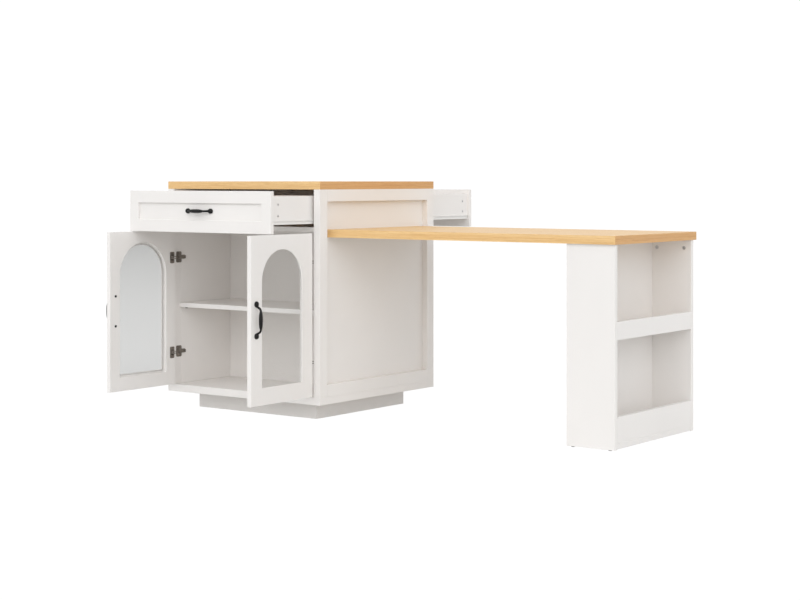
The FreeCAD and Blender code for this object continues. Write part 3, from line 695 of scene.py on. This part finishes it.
def fluted_pane(side):
    """An arched pane: smooth outside, and upright reeds on the face towards the cupboard."""
    node = side + "_door_glass"
    opened, way_back = opening_of(side)
    low, high = box_in(node, way_back)
    middle = (low.x + high.x) / 2
    radius = (high.x - low.x) / 2 - pane_edge_gap
    spring = high.z - pane_edge_gap - radius
    columns = round(2 * radius / flute_pitch) * flute_steps
    points = []
    for column in range(columns + 1):
        across = -1 + 2 * column / columns
        x = middle + radius * across
        top = spring + radius * math.sqrt(max(0.0, 1 - across * across))
        wave = abs(math.sin(math.pi * column / flute_steps))
        reed = high.y - flute_depth * (1 - wave)
        for y, z in ((low.y, low.z), (low.y, top), (reed, top), (reed, low.z)):
            points.append(opened @ Vector((x, y, z)))
    faces = [(0, 1, 2, 3)]
    for column in range(columns):
        start = 4 * column
        for corner in range(4):
            after = (corner + 1) % 4
            faces.append((start + corner, start + 4 + corner, start + 4 + after, start + after))
    last = 4 * columns
    faces.append((last + 3, last + 2, last + 1, last))
    pane = new_object(side + "_pane", points, faces, finishes["reeded_glass"])
    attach(pane, side + "_door")
    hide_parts(node)


# ---------------------------------------------------------------- handles

def handle_stations(reach):
    """Place along, height, slope and radius of a handle's bar, from its middle to one foot."""
    half = grip_length / 2
    grip_height = reach - grip_radius
    stations = []
    for step in range(grip_steps + 1):
        share = step / grip_steps
        radius = neck_radius + (grip_radius - neck_radius) * (1 - share ** grip_fullness)
        stations.append((share * half, grip_height, 0.0, radius))
    for step in range(1, bend_steps + 1):
        slope = neck_angle * step / bend_steps
        x = half + neck_bend * math.sin(slope)
        stations.append((x, grip_height - neck_bend * (1 - math.cos(slope)), slope, neck_radius))
    x, height, slope, radius = stations[-1]
    fall = height - neck_root
    for share, flare in neck_flares:
        stations.append((x + share * fall / math.tan(slope), height - share * fall, slope, radius * flare))
    return stations


def bow_handle(name, put, reach, body, node):
    """A bow handle on two oval feet."""
    form = Form()
    half = handle_stations(reach)
    stations = [(-x, height, -slope, radius) for x, height, slope, radius in half[:0:-1]] + half
    rings = []
    for x, height, slope, radius in stations:
        up = Vector((math.sin(slope), 0, math.cos(slope)))
        ring = []
        for point in circle(radius, 0.0, bar_steps):
            ring.append(Vector((x, 0, height)) + Y_WAY * point.x + up * point.y)
        rings.append(ring)
    form.skin(rings, put)
    for way in (-1, 1):
        foot(form, put @ Matrix.Translation((way * handle_spacing / 2, 0, 0)))
    form.piece(name, "black_iron", body, node)


def foot(form, put):
    """A long oval foot with a rounded top."""
    levels = [(0.0, 0.0)]
    for turn in foot_turns:
        angle = math.radians(turn)
        levels.append((foot_round * (1 - math.cos(angle)), foot_high - foot_round * (1 - math.sin(angle))))
    rings = []
    for inset, height in levels:
        low = (inset - foot_long / 2, inset - foot_wide / 2)
        pairs = outline(low, (-low[0], -low[1]), foot_wide / 2 - inset, corner_steps=8)
        rings.append([Vector((u, v, height)) for u, v in pairs])
    form.skin(rings, put)


def door_handle(side):
    node = side + "_door_handle"
    opened, way_back = opening_of(side)
    low, high = box_in(node, way_back)
    centre = Vector(((low.x + high.x) / 2, high.y, (low.z + high.z) / 2))
    put = opened @ frame_at(centre, Z_WAY, X_WAY, -Y_WAY)
    bow_handle(side + "_bow_handle", put, door_handle_reach, side + "_door", node)


def drawer_handle(side, out):
    node = side + "_drawer_handle"
    low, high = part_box(node)
    face = high.y if out.y < 0 else low.y
    centre = Vector(((low.x + high.x) / 2, face, (low.z + high.z) / 2))
    put = frame_at(centre, X_WAY, Z_WAY, out)
    bow_handle(side + "_bow_handle", put, drawer_handle_reach, side + "_drawer", node)


# ---------------------------------------------------------------- hinges

def wall_places(side):
    """Where each of a side's hinge arms sits: X from the side panel, Y from the front, Z up."""
    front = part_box("base_panel")[0].y
    middle_x = sum(corner.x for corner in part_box("base_panel")) / 2
    wall_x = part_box("left_side_panel")[1].x if side == "left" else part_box("right_side_panel")[0].x
    inward = X_WAY if side == "left" else -X_WAY
    places = []
    for low, high in islands("hinge_arms"):
        if (low.x < middle_x) == (side == "left"):
            centre = Vector((wall_x, front, (low.z + high.z) / 2))
            places.append(frame_at(centre, inward, Y_WAY, Z_WAY))
    return places


def on_wall(put):
    """(u, v, height) on the wall: back, up and away from it."""
    return put @ Matrix(((0, 0, 1, 0), (1, 0, 0, 0), (0, 1, 0, 0), (0, 0, 0, 1)))


def hinge_arm(form, put):
    """A mounting plate with its tail, the arm on it, two ears, the pin and four screws."""
    wall = on_wall(put)
    rounded_plate(form, (plate_start, -plate_half), (plate_end, plate_half), plate_corner,
                  plate_thick, plate_edge, wall)
    rounded_plate(form, (plate_end - plate_corner, -tail_half), (tail_end, tail_half), tail_corner,
                  tail_thick, plate_edge, wall)
    rounded_plate(form, (arm_start, -arm_half), (arm_end, arm_half), arm_corner,
                  arm_top, arm_edge, wall)
    for low in (-arm_half, arm_half - ear_thick):
        ear = [(0.0, ear_end), (0.0, ear_start), (pin_x, ear_start)]
        for step in range(1, ear_steps):
            angle = math.pi * (step / ear_steps - 0.5)
            ear.append((pin_x + ear_radius * math.cos(angle), pin_y + ear_radius * math.sin(angle)))
        ear += [(pin_x, pin_y + ear_radius), (arm_top, ear_end)]
        form.skin([[Vector((x, y, z)) for x, y in ear] for z in (low, low + ear_thick)], put)
    bar(form, put @ Matrix.Translation((pin_x, pin_y, 0)), pin_radius, -arm_half, arm_half)
    middle = (plate_start + plate_end) / 2
    for up in (-hinge_screw_from_middle, hinge_screw_from_middle):
        seat = wall @ Matrix.Translation((middle, up, plate_thick))
        screw_head(form, seat, hinge_screw_radius, hinge_screw_thick, cross(cross_tip))
    for back in arm_screw_places:
        seat = wall @ Matrix.Translation((back, 0, arm_top))
        screw_head(form, seat, arm_screw_radius, arm_screw_thick, cross(cross_tip))


def hinge_link(form, put):
    """Two curved links, their eyes round the pin, and the post between them."""
    towards = Vector((math.cos(link_start_angle), math.sin(link_start_angle), 0))
    centre = Vector((pin_x, pin_y, 0)) - towards * link_radius
    for low in (link_top - link_height, -link_top):
        rings = []
        for step in range(link_steps + 1):
            angle = link_start_angle - link_sweep * step / link_steps
            out = Vector((math.cos(angle), math.sin(angle), 0))
            here = centre + out * link_radius + Z_WAY * (low + link_height / 2)
            half = (link_thick / 2, link_height / 2)
            pairs = outline((-half[0], -half[1]), half, link_corner, corner_steps=2)
            rings.append([here + out * u + Z_WAY * v for u, v in pairs])
        form.skin(rings, put)
        eye = put @ Matrix.Translation((pin_x, pin_y, low))
        hole = pin_radius + finest_edge / 2
        levels = ((hole, 0), (link_eye_radius, 0), (link_eye_radius, link_height), (hole, link_height))
        form.skin([circle(reach, height, bar_steps) for reach, height in levels], eye, looped=True)
    angle = link_start_angle - link_sweep / 2
    post = centre + Vector((math.cos(angle), math.sin(angle), 0)) * link_radius
    reach = link_top - link_height
    bar(form, put @ Matrix.Translation(post), link_post_radius, -reach, reach)


def hinge_cup(form, put):
    """A drawn cup with its screw flange, its back face's plane at z = 0."""
    def flange(inset, height):
        low = (inset - flange_half, inset - flange_tall)
        pairs = outline(low, (-low[0], -low[1]), flange_corner - inset, corner_steps=4, side_steps=14)
        return [Vector((u, v, height)) for u, v in pairs]

    edge_of = flange(0.0, 0.0)

    def round_ring(radius, height):
        ring = []
        for point in edge_of:
            out = point.normalized()
            ring.append(Vector((out.x * radius, out.y * radius, height)))
        return ring

    rings = [
        round_ring(cup_radius - cup_round, -cup_depth),
        round_ring(cup_radius, cup_round - cup_depth),
        round_ring(cup_radius, 0.0),
        edge_of,
        flange(0.0, flange_edge_start),
        flange(flange_edge, flange_thick),
        round_ring(cup_mouth + cup_mouth_round, flange_thick),
        round_ring(cup_mouth, flange_thick - cup_mouth_round),
        round_ring(cup_mouth, cup_inner_round - cup_floor),
        round_ring(cup_mouth - cup_inner_round, -cup_floor),
    ]
    form.skin(rings, put)
    for up in (-hinge_screw_from_middle, hinge_screw_from_middle):
        seat = put @ Matrix.Translation((0, up, flange_thick))
        screw_head(form, seat, hinge_screw_radius, hinge_screw_thick, cross(cross_tip))


def hinges():
    """The four wall arms, and each door's links and cups."""
    arms = Form()
    for side in SIDES:
        links = Form()
        places = wall_places(side)
        for put in places:
            hinge_arm(arms, put)
            swing = Matrix.Rotation(right_angle - abs(open_angle(side)), 4, "Z")
            pin = Matrix.Translation((pin_x, pin_y, 0))
            hinge_link(links, put @ pin @ swing @ pin.inverted())
        links.piece(side + "_links", "nickel_steel", side + "_links", side + "_hinge_links")
        cups = Form()
        opened, way_back = opening_of(side)
        for low, high in islands(side + "_hinge_cups", way_back):
            door_back = box_in(side + "_door_frame", way_back)[1].y
            centre = Vector(((low.x + high.x) / 2, door_back, (low.z + high.z) / 2))
            hinge_cup(cups, opened @ frame_at(centre, X_WAY, Z_WAY, Y_WAY))
        cups.piece(side + "_cups", "nickel_steel", side + "_door", side + "_hinge_cups")
    arms.piece("wall_hinge_arms", "nickel_steel", "cabinet", "hinge_arms")


# ---------------------------------------------------------------- fasteners and rollers

def fastener(form, low, high, axis, sign, recess, head_thick=0.0, opened=None):
    """A smooth screw, cam or bolt in a solid's place, with its head at the sign's end of axis."""
    out = Vector([float(sign) if index == axis else 0.0 for index in range(3)])
    u_way, v_way = ways_round(out)
    centre = (low + high) / 2
    length = high[axis] - low[axis]
    radius = max((high - low)[other] for other in range(3) if other != axis) / 2
    tip = centre + out * (length / 2 - head_thick)
    put = frame_at(tip, u_way, v_way, out)
    if opened:
        put = opened @ put
    screw_head(form, put, radius, head_thick, recess, depth=hidden_depth if head_thick else radius)
    if head_thick:
        bar(form, put, radius * shank_share, head_thick - length, hidden_depth)


def door_screws(side):
    """The screws that hold a door's handle, as their heads show on the inner face."""
    form = Form()
    opened, way_back = opening_of(side)
    back = box_in(side + "_door_frame", way_back)[1].y
    grown = Vector((door_screw_grown, 0, door_screw_grown))
    for low, high in islands(side + "_door_screws", way_back):
        fastener(form, low - grown, high + grown, Y_AXIS, 1, cross(cross_tip), high.y - back, opened)
    form.piece(side + "_screws", "black_iron", side + "_door", side + "_door_screws")


def drawer_fasteners(side, out):
    """Cams in the box's sides, and the screws that hold the handle from behind."""
    node = side + "_drawer_fasteners"
    form = Form()
    middle = sum(corner.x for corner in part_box(node)) / 2
    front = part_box(side + "_drawer_front")
    inner_face = front[1].y if out.y < 0 else front[0].y
    for low, high in islands(node):
        centre = (low + high) / 2
        if abs(centre.x - middle) > handle_spacing:
            fastener(form, low, high, X_AXIS, 1 if centre.x > middle else -1, cross(cross_tip))
        else:
            sign = 1 if out.y < 0 else -1
            tip = high.y if out.y < 0 else low.y
            fastener(form, low, high, Y_AXIS, sign, cross(cross_tip), abs(tip - inner_face))
    form.piece(side + "_box_fasteners", "zinc", side + "_drawer", node)


def leg_cams():
    """Cams in the inner faces of the leg's panels, with their bolts up into the table."""
    form = Form()
    middle = sum(corner.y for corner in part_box("leg_cams")) / 2
    for low, high in islands("leg_cams"):
        inward = 1 if (low.y + high.y) / 2 < middle else -1
        cam_radius = (high.x - low.x) / 2
        cam_high = Vector((high.x, high.y, low.z + 2 * cam_radius))
        fastener(form, low, cam_high, Y_AXIS, inward, cross(cross_tip))
        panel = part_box("leg_front_panel") if inward > 0 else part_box("leg_rear_panel")
        centre = Vector(((low.x + high.x) / 2, (panel[0].y + panel[1].y) / 2, 0))
        bar(form, Matrix.Translation(centre), leg_bolt_radius, low.z + cam_radius, high.z)
    form.piece("leg_cam_locks", "zinc", "cabinet", "leg_cams")


def table_bolts():
    """Bolts with hexagon sockets that hold the table's end from inside the cabinet."""
    form = Form()
    rail_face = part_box("table_fixing_rails")[0].x
    for low, high in islands("table_bolts"):
        fastener(form, low, high, X_AXIS, -1, hexagon(hexagon_tip), rail_face - low.x)
    form.piece("hex_bolts", "nickel_steel", "cabinet", "table_bolts")


def leg_glides():
    """Round glides under the leg, narrower towards the floor."""
    form = Form()
    for low, high in islands("leg_glides"):
        centre = (low + high) / 2
        radius = (high.x - low.x) / 2
        height = high.z - low.z
        put = Matrix.Translation((centre.x, centre.y, low.z))
        form.skin([circle(radius * share, height * rise) for share, rise in glide_profile], put)
    form.piece("round_glides", "black_plastic", "cabinet", "leg_glides")


def rollers(node, body):
    """Nylon wheels with a shallow hollow round the bore."""
    form = Form()
    for low, high in islands(node):
        radius = (high.z - low.z) / 2
        width = high.x - low.x
        ease = radius * roller_ease
        hub = radius * roller_hub
        hub_foot = hub * roller_hub_foot
        rim_foot = radius * roller_rim_foot
        rim = radius * roller_rim
        levels = (
            (roller_bore, 0), (hub, 0), (hub_foot, ease), (rim_foot, ease), (rim, 0),
            (radius - ease, 0), (radius, ease), (radius, width - ease), (radius - ease, width),
            (rim, width), (rim_foot, width - ease), (hub_foot, width - ease),
            (hub, width), (roller_bore, width))
        centre = Vector((low.x, (low.y + high.y) / 2, (low.z + high.z) / 2))
        put = frame_at(centre, Y_WAY, Z_WAY, X_WAY)
        form.skin([circle(reach, height) for reach, height in levels], put, looped=True)
    form.piece(node.replace("rollers", "wheels"), "nylon", body, node)


# ---------------------------------------------------------------- floor, light and camera

# what the camera sees past the part, and how much of the open floor shows as that
backdrop = 1.06
direct_share = 0.94
# a ray's count of panes passed stays under this until the first one
no_pane_yet = 0.5
light_bounces = 12

# the paper underfoot: its half width, where it starts to darken, its shades, painted darker away from the piece as
# a fall-off of light, and its own glow
floor_reach = 60.0
falloff_from = 3.0
paper_falloff_shades = ((0.0, (0.66, 0.66, 0.65)), (0.25, (0.46, 0.46, 0.45)), (1.0, (0.38, 0.38, 0.37)))
floor_light = 0.07

room_light = 0.40
room_tint = (0.985, 0.99, 1.0, 1.0)

# the soft boxes: where each stands, seen from the piece, how narrow it is, and its strength
soft_boxes = (
    ((1.0, 0.0, 0.15), 2.0, 0.53),
    ((0.6, -0.55, 0.55), 8.0, 1.15),
    ((-0.45, -0.7, 0.55), 8.0, 0.75),
    ((0.0, -0.75, 0.65), 8.0, 1.05),
    ((-0.1, -1.0, 0.12), 8.0, 0.36),
    ((0.8, -0.55, 0.15), 8.0, 0.96),
    ((-0.25, 1.0, 0.35), 3.0, 0.66),
    ((-1.0, 0.2, 0.3), 3.0, 0.45),
)

# the camera: lens and sensor in millimetres, its shift as a share of the picture's width
camera_lens = 77.0
camera_sensor = 36.0
camera_shift = -0.1514
camera_far = 200.0
camera_place = (3.85415, -5.38455, 0.9242)
camera_turn = math.radians(36.357)


def floor():
    """White paper, lit from below, with a painted fall-off of light that darkens it away from the middle. Seen
    directly it is as white as the backdrop.
    """
    ways = ((-1, -1), (1, -1), (1, 1), (-1, 1))
    points = [(x * floor_reach, y * floor_reach, 0) for x, y in ways]
    material, tree = new_material("floor_paper")
    away = add(tree, "ShaderNodeVectorMath", {0: place(tree)}, operation="LENGTH").outputs["Value"]
    # painted fall-off of light: the paper darkens with distance from the middle of the floor
    far = spread(tree, away, 0.0, 1.0, falloff_from, floor_reach)
    paper = add(tree, "ShaderNodeBsdfDiffuse", {"Color": ramp(tree, far, *paper_falloff_shades)})
    from_below = add(tree, "ShaderNodeEmission", {"Strength": floor_light})
    lit = add(tree, "ShaderNodeAddShader", {0: paper.outputs[0], 1: from_below.outputs[0]})
    white = add(tree, "ShaderNodeEmission", {"Strength": backdrop})
    path = add(tree, "ShaderNodeLightPath").outputs
    clear = maths(tree, "LESS_THAN", path["Transparent Depth"], no_pane_yet)
    seen = maths(tree, "MULTIPLY", maths(tree, "MULTIPLY", path["Is Camera Ray"], clear), direct_share)
    shader = add(tree, "ShaderNodeMixShader", {0: seen, 1: lit.outputs[0], 2: white.outputs[0]})
    finish_material(tree, shader)
    new_object("floor", points, [(0, 1, 2, 3)], material)


def lights():
    """A pale room with large soft boxes, in front of a white backdrop."""
    world = bpy.data.worlds.new("studio")
    bpy.context.scene.world = world
    world.use_nodes = True
    tree = world.node_tree
    way = add(tree, "ShaderNodeTexCoord").outputs["Generated"]
    strength = room_light
    for towards, narrow, power in soft_boxes:
        aim = add(tree, "ShaderNodeVectorMath", {0: way}, operation="DOT_PRODUCT")
        aim.inputs[1].default_value = Vector(towards).normalized()
        facing = maths(tree, "MAXIMUM", aim.outputs["Value"], 0.0)
        glow = maths(tree, "MULTIPLY", maths(tree, "POWER", facing, narrow), power)
        strength = maths(tree, "ADD", glow, strength)
    seen = add(tree, "ShaderNodeLightPath").outputs["Is Camera Ray"]
    sky = tree.nodes["Background"]
    sky.inputs["Color"].default_value = room_tint
    tree.links.new(mix(tree, seen, strength, backdrop, kind="FLOAT"), sky.inputs["Strength"])


def camera():
    """The camera as it was fitted to the photo: level, with its picture shifted down."""
    data = bpy.data.cameras.new("camera")
    data.lens = camera_lens
    data.sensor_width = camera_sensor
    data.shift_y = camera_shift
    data.dof.use_dof = False
    data.clip_end = camera_far
    eye = bpy.data.objects.new("camera", data)
    bpy.context.scene.collection.objects.link(eye)
    eye.location = camera_place
    eye.rotation_euler = (right_angle, 0.0, camera_turn)
    bpy.context.scene.camera = eye


# ---------------------------------------------------------------- all of it

for name in nodes:
    dress(name)
for side in SIDES:
    fluted_pane(side)
    door_handle(side)
    door_screws(side)
for side, out in (("front", -Y_WAY), ("back", Y_WAY)):
    drawer_handle(side, out)
    drawer_fasteners(side, out)
    rollers(side + "_cabinet_rollers", side + "_fixed_rollers")
    rollers(side + "_drawer_rollers", side + "_moving_rollers")
hinges()
leg_cams()
table_bolts()
leg_glides()
floor()
lights()
camera()
bpy.context.scene.view_settings.view_transform = "Standard"
bpy.context.scene.cycles.diffuse_bounces = light_bounces
bpy.context.scene.cycles.max_bounces = light_bounces
